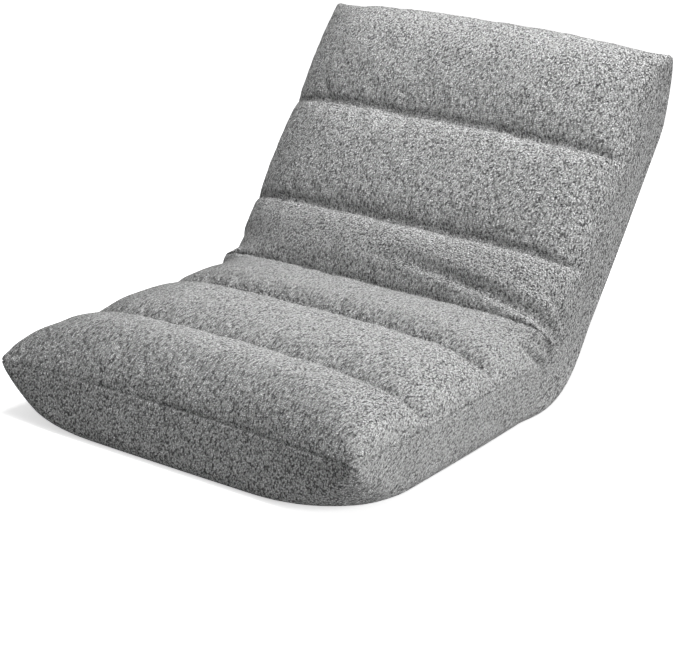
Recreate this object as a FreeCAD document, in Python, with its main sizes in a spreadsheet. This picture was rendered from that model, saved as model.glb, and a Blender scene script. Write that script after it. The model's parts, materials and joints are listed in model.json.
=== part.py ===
"""Folding floor chair: a quilted, legless seat and back that fold about one hinge line.

A frame of straight tubes in the seat and one in the back meet in a ratchet hinge on each side.
Webbing bands, foam and six channel pads lie on the frame inside a quilted top cover and a tray-shaped
bottom cover, which are sewn together along a seam at the height of the hinge.

Every piece is drawn with the chair lying flat, the hinge axis along X through the origin, the
seat towards -Y and the back towards +Y. The seat is then lifted to stand on the floor and the
back is turned up about the hinge to the angle at which the chair rests.
"""
import FreeCAD, Part
import os
import re

import Sketcher
from FreeCAD import Placement, Rotation, Vector

doc = FreeCAD.newDocument("FloorChair")
sheet = doc.addObject("Spreadsheet::Sheet", "Size")
nodes = []

# Driving dimensions, in millimetres and degrees
SIZES = {
    # The cover: outline, channels and seam
    "seat_length": 460,         # front seam to hinge axis
    "back_length": 440,         # hinge axis to head seam
    "cover_width": 550,
    "hinge_height": 74,         # floor to seam and hinge axis
    "crest_height": 61,         # seam to the crest of a channel
    "groove_depth": 16,         # crest down to the stitched groove
    "front_channel": 150,
    "middle_channel": 164,
    "lumbar_channel": 118,      # hinge axis to the groove above the lumbar channel
    "upper_channel": 160,
    "crease_radius": 47,        # hinge axis to the crease between seat and back
    "nose_reach": 34,           # front or head seam in to the shoulder of the end channel
    "nose_height": 42,
    "nose_radius": 46,
    "crown_corner": 52,         # rounding of the channels down to the side seam
    "cover_thickness": 5,       # fleece with its quilted wadding
    "base_thickness": 3,
    "seam_corner": 8,
    "heel_rise": 20,            # floor up to where the wall turns under
    "heel_corner": 58,
    "floor_inset": 20,
    "floor_corner": 66,
    "fold_gap": 0.3,            # air between pieces of seat and back at the fold
    # The frame: tubes and webbing
    "tube_radius": 9.5,
    "tube_wall": 1.2,
    "frame_side": 60,           # side seam to the axis of the side tube
    "frame_inset": 70,          # front or head seam to the far ends of the side tubes
    "seat_tube_start": 78,      # hinge axis to the open end of the side tube
    "back_tube_start": 52,
    "cross_radius": 8,
    "seat_cross_place": 140,
    "back_cross_place": 112,
    "end_cross_inset": 22,      # far ends of the side tubes to the axis of the end cross tube
    "band_width": 42,
    "band_thickness": 2,
    "band_play": 0.2,
    "band_first": 190,          # hinge axis to the middle of the first band
    "band_spacing": 58,
    "pad_rest": 0.3,            # pad above and foam below the webbing
    # The ratchet hinge
    "arm_thickness": 4,
    "cheek_thickness": 2,
    "side_play": 0.15,
    "tooth_pitch": 7.6,         # degrees
    "rest_clicks": 7,           # teeth from flat up to the resting angle
    "travel_clicks": 16,        # teeth from flat up to the last position
    "tip_radius": 24,
    "tooth_depth": 2.4,
    "flank_angle": 15,
    "pawl_play": 0.25,          # pawl nose to the faces of the tooth gap
    "pawl_tip_play": 0.35,      # pawl to the next tooth tip
    "pawl_back": 27,            # hinge axis to pawl pin, along the seat
    "pawl_rise": 19,
    "pawl_boss": 5.5,
    "pawl_heel": 4,             # how far the nose reaches out past the tooth tips
    "pivot_radius": 5,
    "pin_radius": 2.5,
    "running_play": 0.05,
    "head_height": 1.6,
    "head_lip": 2.5,            # rivet head past its shank
    "cheek_radius": 28,
    "cheek_lobe": 10,
    "cheek_low_angle": 60,      # degrees, where the round front meets the tail below and above
    "cheek_high_angle": 70,
    "cheek_tail": 76,
    "tail_half": 11,
    "core_start": 44,
    "core_half": 10,
    "neck_half": 6,
    "tang_half": 7.8,
    "tang_reach": 40,           # how far a tang slides into its tube
    "tang_gap": 2,              # tube end to the shoulder of the tang
    "cheek_pin_place": 60,
    "spring_leaf": 0.8,
    "spring_width": 3,
    "spring_gap": 0.3,
    "spring_high": 9,           # top of the leg on the core plate
    "spring_touch": 4.5,        # top of the leg on the pawl
    "spring_low": 3,
    "well_radius": 47,          # hollow left in the foam for the hinge
    "well_width": 28,
    "well_length": 84,
    "well_half": 33,
}

for row, (name, value) in enumerate(SIZES.items(), 1):
    sheet.set(f"A{row}", str(value))
    sheet.setAlias(f"A{row}", name)
doc.recompute()

# Places worked out from the driving dimensions, with the seat's lengths counted from the hinge
ZERO = "0"
BACK_ANGLE = "(tooth_pitch * rest_clicks)"
HALF_WIDTH = "(cover_width / 2)"
FRAME_HALF = "(cover_width / 2 - frame_side)"
GROOVE = "(crest_height - groove_depth)"
SEAT_GROOVE_1 = "(seat_length - front_channel)"
SEAT_GROOVE_2 = "(seat_length - front_channel - middle_channel)"
BACK_GROOVE_1 = "lumbar_channel"
BACK_GROOVE_2 = "(lumbar_channel + upper_channel)"
CREASE_OUT = f"(crease_radius * sin({BACK_ANGLE} / 2))"
CREASE_UP = f"(crease_radius * cos({BACK_ANGLE} / 2))"
PAD_FLOOR = "(tube_radius + band_play + band_thickness + pad_rest)"
ROOT_RADIUS = "(tip_radius - tooth_depth)"
CHEEK_GRIP = "(arm_thickness + 2 * side_play + 2 * cheek_thickness)"
CHEEK_OFFSET = "(arm_thickness / 2 + side_play + cheek_thickness / 2)"
BORE_RADIUS = "(tube_radius - tube_wall)"
SEAT_TANG_END = "(seat_tube_start + tang_reach)"
BACK_TANG_END = "(back_tube_start + tang_reach)"

SIDES = (("left", -1), ("right", 1))
PLANES = {
    "XY": Rotation(),
    "XZ": Rotation(Vector(1, 0, 0), 90),
    "YZ": Rotation(Vector(1, 1, 1), 120),
}


def sized(expression):
    """Name the sheet in front of every dimension in an expression."""
    return re.sub(r"[a-z]+_\w+", r"Size.\g<0>", expression)


def number(expression):
    return float(sheet.evalExpression(sized(expression)))


def bind(item, prop, expression):
    item.setExpression(prop, sized(expression))


def arc_between(start, end, radius, turn):
    """The arc of less than half a turn from start to end; turn is 1 when it runs anticlockwise."""
    chord = end - start
    rise = max(radius**2 - (chord.Length / 2) ** 2, 0) ** 0.5
    across = Vector(-chord.y, chord.x, 0).normalize()
    centre = (start + end) / 2 + across * rise * turn
    first, last = (start, end) if turn > 0 else (end, start)
    x_axis = Vector(1, 0, 0)
    angles = [x_axis.getAngle(p - centre) * (1 if p.y >= centre.y else -1) for p in (first, last)]
    return Part.ArcOfCircle(Part.Circle(centre, Vector(0, 0, 1), radius), *angles)


def pin_point(sketch, edge, end, across, up):
    """Fix one point of a sketch at a place given by two expressions."""
    for kind, axis, place in (("DistanceX", -2, across), ("DistanceY", -1, up)):
        value = number(place)
        if abs(value) < 1e-9:
            sketch.addConstraint(Sketcher.Constraint("PointOnObject", edge, end, axis))
            continue
        ends = (-1, 1, edge, end) if value > 0 else (edge, end, -1, 1)
        row = sketch.addConstraint(Sketcher.Constraint(kind, *ends, abs(value)))
        bind(sketch, f"Constraints[{row}]", place if value > 0 else f"-({place})")


def draw_outline(sketch, corners, closed=True):
    """Draw lines and arcs from corner to corner: (across, up) or (across, up, radius, turn)."""
    points = [Vector(number(corner[0]), number(corner[1]), 0) for corner in corners]
    count = len(corners) if closed else len(corners) - 1
    first = sketch.GeometryCount
    ends = []
    for k in range(count):
        start, end = points[k], points[(k + 1) % len(points)]
        if len(corners[k]) == 2:
            sketch.addGeometry(Part.LineSegment(start, end), False)
            ends.append((1, 2))
        else:
            radius, turn = corners[k][2:]
            sketch.addGeometry(arc_between(start, end, number(radius), turn), False)
            ends.append((1, 2) if turn > 0 else (2, 1))
    for k in range(count):
        following = (k + 1) % count
        if closed or following:
            joined = (first + k, ends[k][1], first + following, ends[following][0])
            sketch.addConstraint(Sketcher.Constraint("Coincident", *joined))
        pin_point(sketch, first + k, ends[k][0], *corners[k][:2])
        if len(corners[k]) > 2:
            radius = corners[k][2]
            row = sketch.addConstraint(Sketcher.Constraint("Radius", first + k, number(radius)))
            bind(sketch, f"Constraints[{row}]", radius)
    if not closed:
        pin_point(sketch, first + count - 1, ends[-1][1], *corners[-1][:2])


def draw_circle(sketch, across, up, radius):
    centre = Vector(number(across), number(up), 0)
    edge = sketch.addGeometry(Part.Circle(centre, Vector(0, 0, 1), number(radius)), False)
    pin_point(sketch, edge, 3, across, up)
    row = sketch.addConstraint(Sketcher.Constraint("Radius", edge, number(radius)))
    bind(sketch, f"Constraints[{row}]", radius)


def free_sketch(name, plane, corners, level=None):
    sketch = doc.addObject("Sketcher::SketchObject", name)
    sketch.Placement = Placement(Vector(), PLANES[plane])
    draw_outline(sketch, corners)
    if level:
        bind(sketch, ".Placement.Base.z", level)
    return sketch


def extruded(name, sketch, length):
    """Extrude a sketch to both sides of its plane, to a whole length."""
    solid = doc.addObject("Part::Extrusion", name)
    solid.Base = sketch
    solid.DirMode = "Normal"
    solid.Solid = True
    solid.Symmetric = True
    bind(solid, "LengthFwd", length)
    return solid


def combined(kind, name, base, tool):
    result = doc.addObject(f"Part::{kind}", name)
    result.Base = base
    result.Tool = tool
    return result


def fused(name, shapes):
    result = doc.addObject("Part::MultiFuse", name)
    result.Shapes = shapes
    return result


def cylinder(name, radius, length, across=ZERO, along=ZERO):
    """A cylinder along X, centred at a place across and along the chair."""
    solid = doc.addObject("Part::Cylinder", name)
    bind(solid, "Radius", radius)
    bind(solid, "Height", length)
    solid.Placement = Placement(Vector(), Rotation(Vector(0, 1, 0), 90))
    bind(solid, ".Placement.Base.x", f"{across} - ({length}) / 2")
    bind(solid, ".Placement.Base.y", along)
    return solid


def box(name, across, along, up):
    """A box between two places each way: across, along and up."""
    solid = doc.addObject("Part::Box", name)
    for prop, axis, (low, high) in (
        ("Length", "x", across),
        ("Width", "y", along),
        ("Height", "z", up),
    ):
        bind(solid, prop, f"({high}) - ({low})")
        bind(solid, f".Placement.Base.{axis}", low)
    return solid


def hand_in(name, item, body, across=None):
    """Give a finished piece its name and put it in its place in the resting chair."""
    item.Label = name
    if body == "back":
        item.Placement = Placement(Vector(), Rotation(Vector(1, 0, 0), number(BACK_ANGLE)))
        bind(item, ".Placement.Rotation.Angle", BACK_ANGLE)
    if across:
        bind(item, ".Placement.Base.x", across)
    bind(item, ".Placement.Base.y", "seat_length / 2")
    bind(item, ".Placement.Base.z", "hinge_height")
    nodes.append(item)


def crown(name, inset):
    """The arch of the top cover across the chair: a flat crown with rounded sides."""
    half = f"({HALF_WIDTH} - {inset})"
    rise = f"(crest_height - {inset})"
    corner = f"(crown_corner - {inset})"
    flat = f"((({half} - {corner})^2 + {rise}^2 - {corner}^2) / (2 * ({rise} - {corner})))"
    turn_out = f"(({half} - {corner}) * ({flat} / ({flat} - {corner})))"
    turn_up = f"({corner} * ({flat} - {rise}) / ({flat} - {corner}))"
    sketch = free_sketch(name + "_arch", "XZ", [
        (f"-{half}", ZERO, corner, -1),
        (f"-{turn_out}", turn_up, flat, -1),
        (turn_out, turn_up, corner, -1),
        (half, ZERO),
    ])
    return extruded(name, sketch, "2 * (seat_length + back_length)")


def bulge(chord, drop=ZERO):
    """Radius of the arc that swells by the groove depth over a chord."""
    square = f"(({chord})^2 + ({drop})^2)"
    return f"({square} / (8 * groove_depth) + groove_depth / 2)"


def along_side(direction, corners):
    """Mirror an outline drawn towards +Y when the piece belongs to the seat."""
    if direction > 0:
        return corners
    mirrored = []
    for corner in corners:
        turned = (corner[2], -corner[3]) if len(corner) > 2 else ()
        mirrored.append((f"-({corner[0]})", corner[1], *turned))
    return mirrored


def channel_corners(start, end, floor, inset):
    """Outline of a plain channel between two grooves, its top swelling between them."""
    low = f"{start} + {inset} / 2"
    high = f"{end} - {inset} / 2"
    top = f"{GROOVE} - {inset}"
    return [
        (low, floor),
        (low, top, bulge(f"({high}) - ({low})"), -1),
        (high, top),
        (high, floor),
    ]


def end_corners(start, length, floor, inset):
    """Outline of the front or head channel, with its rounded nose down to the end seam."""
    low = f"{start} + {inset} / 2"
    shoulder = f"{length} - nose_reach - {inset} / 2"
    shoulder_up = f"nose_height - {inset}"
    drop = f"({GROOVE} - {inset}) - ({shoulder_up})"
    return [
        (low, floor),
        (low, f"{GROOVE} - {inset}", bulge(f"({shoulder}) - ({low})", drop), -1),
        (shoulder, shoulder_up, f"nose_radius - {inset}", -1),
        (f"{length} - {inset}", floor),
    ]


def fold_corners(end, floor, inset):
    """Outline of the channel next to the fold, its inner end on the plane halfway the fold."""
    high = f"{end} - {inset} / 2"
    top = f"{GROOVE} - {inset}"
    share = f"((crease_radius - {inset}) / crease_radius)"
    out = f"{CREASE_OUT} * {share} + fold_gap"
    up = f"{CREASE_UP} * {share}"
    return [
        ("fold_gap", floor),
        (out, up, bulge(f"({high}) - ({out})", f"({top}) - ({up})"), -1),
        (high, top),
        (high, floor),
    ]


# Top cover: each stretch is the outline of its channels, trimmed to the crown, with a cell for
# each pad and one low space for the frame
outer_crown = crown("outer_crown", ZERO)
inner_crown = crown("inner_crown", "cover_thickness")
SKIN = "cover_thickness"


def channel_solid(name, direction, corners, limit):
    sketch = free_sketch(name + "_outline", "YZ", along_side(direction, corners))
    swept = extruded(name + "_run", sketch, "2 * cover_width")
    return combined("Common", name, swept, limit)


def span(direction, low, high):
    return (low, high) if direction > 0 else (f"-({high})", f"-({low})")


def frame_space(name, direction, low, high):
    """The low space under the pads, between two places along the chair, where the frame lies."""
    half = f"({HALF_WIDTH} - cover_thickness)"
    run = box(name + "_run", (f"-{half}", half), span(direction, low, high), (ZERO, PAD_FLOOR))
    return combined("Common", name, run, inner_crown)


def hinge_wells(name, direction):
    """The hollows that keep foam and pads clear of the hinges on both sides."""
    solids = []
    for side, sign in SIDES:
        place = f"{sign} * {FRAME_HALF}"
        solids.append(cylinder(f"{name}_round_{side}", "well_radius", "well_width", place))
        if direction < 0:
            across = (f"{place} - well_width / 2", f"{place} + well_width / 2")
            along = ("-well_length", ZERO)
            solids.append(box(f"{name}_tail_{side}", across, along, ("-well_half", "well_half")))
    return fused(name, solids)


wells = {"seat": hinge_wells("seat_well", -1), "back": hinge_wells("back_well", 1)}


def make_top(body, direction, length, groove_1, groove_2, names):
    """One half of the top cover with its three pads, from the fold out to the end seam."""
    fold_cover, end_cover, fold_pad, plain_pad, end_pad = names
    cells = {
        fold_pad: channel_solid(
            f"{fold_pad}_cell", direction, fold_corners(groove_1, ZERO, SKIN), inner_crown
        ),
        plain_pad: channel_solid(
            f"{plain_pad}_cell", direction, channel_corners(groove_1, groove_2, ZERO, SKIN), inner_crown
        ),
        end_pad: channel_solid(
            f"{end_pad}_cell", direction, end_corners(groove_2, length, ZERO, SKIN), inner_crown
        ),
    }
    fold_outer = channel_solid(
        f"{fold_cover}_outer", direction, fold_corners(groove_1, ZERO, ZERO), outer_crown
    )
    plain_outer = channel_solid(
        f"{plain_pad}_outer", direction, channel_corners(groove_1, groove_2, ZERO, ZERO), outer_crown
    )
    end_outer = channel_solid(
        f"{end_pad}_outer", direction, end_corners(groove_2, length, ZERO, ZERO), outer_crown
    )
    fold_space = frame_space(f"{fold_cover}_space", direction, "fold_gap", groove_1)
    fold_hollow = fused(f"{fold_cover}_hollow", [cells[fold_pad], fold_space])
    hand_in(fold_cover, combined("Cut", fold_cover, fold_outer, fold_hollow), body)

    end_space = frame_space(f"{end_cover}_space", direction, groove_1, f"{length} - nose_reach")
    end_hollow = fused(f"{end_cover}_hollow", [cells[plain_pad], cells[end_pad], end_space])
    end_whole = fused(f"{end_cover}_whole", [plain_outer, end_outer])
    hand_in(end_cover, combined("Cut", end_cover, end_whole, end_hollow), body)

    for name, cell in cells.items():
        half = HALF_WIDTH
        low = box(f"{name}_low", (f"-{half}", half), (f"-{length}", length), ("-pad_rest", PAD_FLOOR))
        pad = combined("Cut", f"{name}_raised", cell, low)
        if name == fold_pad:
            pad = combined("Cut", f"{name}_cleared", pad, wells[body])
        hand_in(name, pad, body)


make_top("seat", -1, "seat_length", SEAT_GROOVE_2, SEAT_GROOVE_1, (
    "rear_channel_cover", "seat_top_cover", "seat_pad_rear", "seat_pad_middle", "seat_pad_front",
))
make_top("back", 1, "back_length", BACK_GROOVE_1, BACK_GROOVE_2, (
    "lumbar_channel_cover", "back_top_cover", "back_pad_lumbar", "back_pad_upper", "back_pad_head",
))


# Bottom cover: a tray with straight runs from the seam down to the floor, whose corners grow rounder
def tray_section(name, length, inset, corner, level):
    half = f"({HALF_WIDTH} - {inset})"
    end = f"({length} - {inset})"
    corners = []
    for across, along in ((1, -1), (1, 1), (-1, 1), (-1, -1)):
        before = (f"{across} * ({half} - {corner})", f"{along} * {end}")
        after = (f"{across} * {half}", f"{along} * ({end} - {corner})")
        if across * along > 0:
            before, after = after, before
        corners += [(*before, corner, 1), after]
    return free_sketch(name, "XY", corners, level)


def tray(name, length, skin):
    """The outside of the tray, or its inside when a skin thickness is given."""
    levels = (
        ("seam", f"({skin})", f"(seam_corner - {skin})", ZERO),
        ("heel", f"({skin})", f"(heel_corner - {skin})", "heel_rise - hinge_height"),
        ("floor", f"({skin} + floor_inset)", f"(floor_corner - {skin})", f"{skin} - hinge_height"),
    )
    solid = doc.addObject("Part::Loft", name)
    solid.Sections = [
        tray_section(f"{name}_{level}", length, inset, corner, height)
        for level, inset, corner, height in levels
    ]
    solid.Solid = True
    solid.Ruled = True
    return solid


def make_base(body, direction, length):
    """The tray of the seat or the back, open at the seam and at the fold, and its foam."""
    reach = f"({length} + floor_inset)"
    gap = ZERO if body == "seat" else "fold_gap"
    wide = ("-cover_width", "cover_width")
    side = span(direction, gap, reach)
    half_space = box(f"{body}_half", wide, side, ("-2 * hinge_height", ZERO))
    foam_space = box(f"{body}_foam_half", wide, side, ("-2 * hinge_height", f"-{PAD_FLOOR}"))
    outside = tray(f"{body}_tray", length, ZERO)
    inside = tray(f"{body}_tray_inside", length, "base_thickness")
    shell = combined("Cut", f"{body}_shell", outside, inside)
    cover = combined("Common", f"{body}_base_cover", shell, half_space)
    foam_block = combined("Common", f"{body}_foam_block", inside, foam_space)
    foam = combined("Cut", f"{body}_base_foam", foam_block, wells[body])
    hand_in(f"{body}_base_cover", cover, body)
    hand_in(f"{body}_base_foam", foam, body)
    return shell, foam_block


seat_shell, seat_foam_block = make_base("seat", -1, "seat_length")
make_base("back", 1, "back_length")
doc.recompute()


# Outside of the fold: the tray's own section at the hinge, swept round it by the back's angle
def swept_round(name, item):
    wide = number("cover_width")
    tall = number("hinge_height")
    around = [Vector(wide * x, 0, tall * z) for x, z in ((-1, -2), (1, -2), (1, 2), (-1, 2), (-1, -2))]
    section = item.Shape.common(Part.Face(Part.makePolygon(around)))
    turned = [face.revolve(Vector(), Vector(1, 0, 0), number(BACK_ANGLE)) for face in section.Faces]
    feature = doc.addObject("Part::Feature", name)
    feature.Shape = turned[0] if len(turned) == 1 else Part.makeCompound(turned)
    return feature


hand_in("fold_base_cover", swept_round("fold_base_cover", seat_shell), "seat")
fold_block = swept_round("fold_foam_block", seat_foam_block)
hand_in("fold_base_foam", combined("Cut", "fold_base_foam", fold_block, wells["back"]), "seat")


def origin_part(body, role):
    return next(part for part in body.Origin.OriginFeatures if part.Role == role)


def body_sketch(body, name, plane, offset=None):
    sketch = body.newObject("Sketcher::SketchObject", name)
    sketch.AttachmentSupport = (origin_part(body, plane), [""])
    sketch.MapMode = "FlatFace"
    if offset:
        bind(sketch, ".AttachmentOffset.Base.z", offset)
    return sketch


def pad_feature(body, name, sketch, thickness):
    feature = body.newObject("PartDesign::Pad", name)
    feature.Profile = sketch
    feature.SideType = "Symmetric"
    bind(feature, "Length", thickness)
    return feature


def plate(name, corners, holes, thickness):
    """A flat piece in the plane of the hinge, with round holes (along, up, radius)."""
    body = doc.addObject("PartDesign::Body", name)
    sketch = body_sketch(body, name + "_outline", "YZ_Plane")
    draw_outline(sketch, corners)
    for hole in holes:
        draw_circle(sketch, *hole)
    pad_feature(body, name + "_pad", sketch, thickness)
    return body


# Frame: a straight tube along each side of the seat and of the back, and two tubes across
def lengthwise(name, radius, across, low, high):
    """A cylinder along the chair, between two places."""
    solid = doc.addObject("Part::Cylinder", name)
    bind(solid, "Radius", radius)
    bind(solid, "Height", f"({high}) - ({low})")
    solid.Placement = Placement(Vector(), Rotation(Vector(1, 0, 0), -90))
    bind(solid, ".Placement.Base.x", across)
    bind(solid, ".Placement.Base.y", low)
    return solid


def make_side_tube(body_name, direction, side, across, start, end):
    name = f"{body_name}_side_tube_{side}"
    ends = span(direction, start, end)
    outside = lengthwise(f"{name}_outside", "tube_radius", across, *ends)
    bore = lengthwise(f"{name}_bore", BORE_RADIUS, across, *ends)
    hand_in(name, combined("Cut", name, outside, bore), body_name)


def make_cross_tube(name, body_name, along):
    """A tube across the chair, coped at both ends to sit against the side tubes."""
    whole = cylinder(f"{name}_outside", "cross_radius", f"2 * {FRAME_HALF}", ZERO, along)
    bore = cylinder(f"{name}_bore", "cross_radius - tube_wall", "cover_width", ZERO, along)
    pipe = combined("Cut", f"{name}_pipe", whole, bore)
    ends = (f"{along} - 2 * cross_radius", f"{along} + 2 * cross_radius")
    arms = []
    for side, sign in SIDES:
        arms.append(lengthwise(f"{name}_arm_{side}", "tube_radius", f"{sign} * {FRAME_HALF}", *ends))
    hand_in(name, combined("Cut", name, pipe, fused(f"{name}_arms", arms)), body_name)


for body_name, direction in (("seat", -1), ("back", 1)):
    tube_end = f"({body_name}_length - frame_inset)"
    for side, sign in SIDES:
        across = f"{sign} * {FRAME_HALF}"
        make_side_tube(body_name, direction, side, across, f"{body_name}_tube_start", tube_end)
    for count, place in enumerate((f"{body_name}_cross_place", f"({tube_end} - end_cross_inset)")):
        make_cross_tube(f"{body_name}_cross_tube_{count + 1}", body_name, f"{direction} * {place}")


# Webbing: elastic bands looped round both side tubes
def make_band(name, body_name, place):
    body = doc.addObject("PartDesign::Body", name)
    sketch = body_sketch(body, name + "_loop", "XZ_Plane", f"-({place})")
    side = FRAME_HALF
    for radius in ("(tube_radius + band_play + band_thickness)", "(tube_radius + band_play)"):
        draw_outline(sketch, [
            (f"-{side}", radius, radius, 1),
            (f"-{side} - {radius}", ZERO, radius, 1),
            (f"-{side}", f"-{radius}"),
            (side, f"-{radius}", radius, 1),
            (f"{side} + {radius}", ZERO, radius, 1),
            (side, radius),
        ])
    pad_feature(body, name + "_band", sketch, "band_width")
    hand_in(name, body, body_name)


for body_name, direction in (("seat", -1), ("back", 1)):
    for count in range(3):
        place = f"{direction} * (band_first + {count} * band_spacing)"
        make_band(f"{body_name}_webbing_{count + 1}", body_name, place)


# Hinge pivots: rivets along X with a low conical head at each end
def rivet_solid(radius):
    shank = number(radius)
    half = number(CHEEK_GRIP) / 2
    lip = shank + number("head_lip")
    top = half + number("head_height")
    points = [
        Vector(-top, 0, 0), Vector(-half, lip, 0), Vector(-half, shank, 0), Vector(half, shank, 0),
        Vector(half, lip, 0), Vector(top, 0, 0), Vector(-top, 0, 0),
    ]
    return Part.Face(Part.makePolygon(points)).revolve(Vector(), Vector(1, 0, 0), 360)


# Pawl and cheek pins: plain pins along X, riveted flush with the cheeks
def pin_solid(radius):
    half = number(CHEEK_GRIP) / 2
    return Part.makeCylinder(number(radius), 2 * half, Vector(-half, 0, 0), Vector(1, 0, 0))


def make_fasteners(name, solid, along, up):
    """One node with the same fastener in the hinge of each side."""
    solids = []
    for side, sign in SIDES:
        place = Vector(number(f"{sign} * {FRAME_HALF}"), number(along), number(up))
        solids.append(solid.translated(place))
    feature = doc.addObject("Part::Feature", name)
    feature.Shape = Part.makeCompound(solids)
    hand_in(name, feature, "seat")


make_fasteners("pivot_rivets", rivet_solid("pivot_radius"), ZERO, ZERO)
make_fasteners("pawl_pins", pin_solid("pin_radius"), "-pawl_back", "pawl_rise")
make_fasteners("cheek_pins", pin_solid("pin_radius"), "-cheek_pin_place", ZERO)

PIVOT_HOLE = (ZERO, ZERO, "pivot_radius + running_play")
PAWL_HOLE = ("-pawl_back", "pawl_rise", "pin_radius + running_play")
CHEEK_HOLE = ("-cheek_pin_place", ZERO, "pin_radius + running_play")


# Hinge cheeks: stamped plates that cover the teeth, the pawl and the seat's core plate
def cheek_outline():
    return [
        ("-cheek_radius * sin(cheek_low_angle)", "-cheek_radius * cos(cheek_low_angle)", "cheek_radius", 1),
        ("cheek_radius", ZERO, "cheek_radius", 1),
        ("cheek_radius * cos(cheek_high_angle)", "cheek_radius * sin(cheek_high_angle)"),
        ("-pawl_back", "pawl_rise + cheek_lobe", "cheek_lobe", 1),
        ("-(pawl_back + cheek_lobe)", "pawl_rise"),
        ("-(cheek_tail - tail_half)", "tail_half", "tail_half", 1),
        ("-cheek_tail", ZERO, "tail_half", 1),
        ("-(cheek_tail - tail_half)", "-tail_half"),
    ]


# Ratchet arm: a disc cut with teeth on the seat's side, a neck, and a tang welded into the back tube
def ratchet_outline():
    meet = "sqrt(tip_radius^2 - neck_half^2)"
    shoulder = "(back_tube_start - tang_gap)"
    return [
        (meet, "neck_half", "tip_radius", 1),
        ("-tip_radius", ZERO, "tip_radius", 1),
        (meet, "-neck_half"),
        (shoulder, "-neck_half"),
        (shoulder, "-tang_half"),
        (BACK_TANG_END, "-tang_half"),
        (BACK_TANG_END, "tang_half"),
        (shoulder, "tang_half"),
        (shoulder, "neck_half"),
    ]


def make_ratchet_arm(name, across):
    body = plate(name, ratchet_outline(), [PIVOT_HOLE], "arm_thickness")
    past_tip = "(tip_radius + tooth_depth)"
    slope_along = f"(tip_radius * cos(tooth_pitch) - {ROOT_RADIUS})"
    slope_up = "(tip_radius * sin(tooth_pitch))"
    notch = body_sketch(body, name + "_notch", "YZ_Plane")
    draw_outline(notch, [
        (f"-{ROOT_RADIUS}", ZERO),
        (f"-({ROOT_RADIUS} + 2 * {slope_along})", f"2 * {slope_up}"),
        (f"-{past_tip}", f"-({past_tip} - {ROOT_RADIUS}) * tan(flank_angle)"),
    ])
    doc.recompute()
    gap = body.newObject("PartDesign::Pocket", name + "_gap")
    gap.Profile = notch
    gap.Type = "ThroughAll"
    gap.SideType = "Symmetric"
    doc.recompute()
    teeth = body.newObject("PartDesign::PolarPattern", name + "_teeth")
    teeth.Originals = [gap]
    teeth.Axis = (origin_part(body, "X_Axis"), [""])
    teeth.Reversed = True
    bind(teeth, "Occurrences", "travel_clicks + 1")
    bind(teeth, "Angle", "tooth_pitch * travel_clicks")
    body.Tip = teeth
    hand_in(name, body, "back", across)


# Pawl: a strut from its pin down into one tooth gap, whose face follows the tooth's flank
def pawl_outline():
    flank = "tan(flank_angle)"
    heel = "(tip_radius + pawl_heel)"
    tip = f"({ROOT_RADIUS} + pawl_play)"
    clear = "(tip_radius + pawl_tip_play)"
    return [
        (f"-{tip}", f"pawl_play - pawl_play * {flank}"),
        (f"-{clear} * cos(tooth_pitch)", f"{clear} * sin(tooth_pitch)"),
        ("-pawl_back + pawl_boss", "pawl_rise", "pawl_boss", 1),
        ("-pawl_back", "pawl_rise + pawl_boss", "pawl_boss", 1),
        ("-pawl_back - pawl_boss", "pawl_rise"),
        (f"-{heel}", f"pawl_play - ({heel} - {ROOT_RADIUS}) * {flank}"),
    ]


# Pawl spring: a leaf bent to a U between the core plate and the back of the pawl
def spring_outline():
    heel = "(tip_radius + pawl_heel)"
    heel_up = f"(pawl_play - ({heel} - {ROOT_RADIUS}) * tan(flank_angle))"
    lean = f"((pawl_back + pawl_boss - {heel}) / (pawl_rise - {heel_up}))"
    touch = f"({heel} + (spring_touch - {heel_up}) * {lean})"
    near = f"(-{touch} - spring_gap)"
    far = "(-core_start)"
    outer = f"(({near} - {far}) / 2)"
    inner = f"({outer} - spring_leaf)"
    middle = f"(({near} + {far}) / 2)"
    bend_up = "(-spring_low)"
    return [
        (far, "spring_high"),
        (far, bend_up, outer, 1),
        (middle, f"{bend_up} - {outer}", outer, 1),
        (near, bend_up),
        (near, "spring_touch"),
        (f"{near} - spring_leaf", "spring_touch"),
        (f"{near} - spring_leaf", bend_up, inner, -1),
        (middle, f"{bend_up} - {inner}", inner, -1),
        (f"{far} + spring_leaf", bend_up),
        (f"{far} + spring_leaf", "spring_high"),
    ]


# Seat arm: the core plate between the cheeks, with a tang welded into the seat's side tube
def core_outline():
    shoulder = "(seat_tube_start - tang_gap)"
    return [
        ("-core_start", "-core_half"),
        ("-core_start", "core_half"),
        (f"-{shoulder}", "core_half"),
        (f"-{shoulder}", "tang_half"),
        (f"-{SEAT_TANG_END}", "tang_half"),
        (f"-{SEAT_TANG_END}", "-tang_half"),
        (f"-{shoulder}", "-tang_half"),
        (f"-{shoulder}", "-core_half"),
    ]


for side, sign in SIDES:
    middle = f"{sign} * {FRAME_HALF}"
    for face, outward in (("outer", sign), ("inner", -sign)):
        name = f"hinge_cheek_{face}_{side}"
        cheek = plate(name, cheek_outline(), [PIVOT_HOLE, PAWL_HOLE, CHEEK_HOLE], "cheek_thickness")
        hand_in(name, cheek, "seat", f"{middle} + {outward} * {CHEEK_OFFSET}")
    core = plate(f"seat_arm_{side}", core_outline(), [CHEEK_HOLE], "arm_thickness + 2 * side_play")
    hand_in(f"seat_arm_{side}", core, "seat", middle)
    make_ratchet_arm(f"ratchet_arm_{side}", middle)
    pawl = plate(f"pawl_{side}", pawl_outline(), [PAWL_HOLE], "arm_thickness")
    hand_in(f"pawl_{side}", pawl, "seat", middle)
    spring = plate(f"pawl_spring_{side}", spring_outline(), [], "spring_width")
    hand_in(f"pawl_spring_{side}", spring, "seat", middle)

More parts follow.
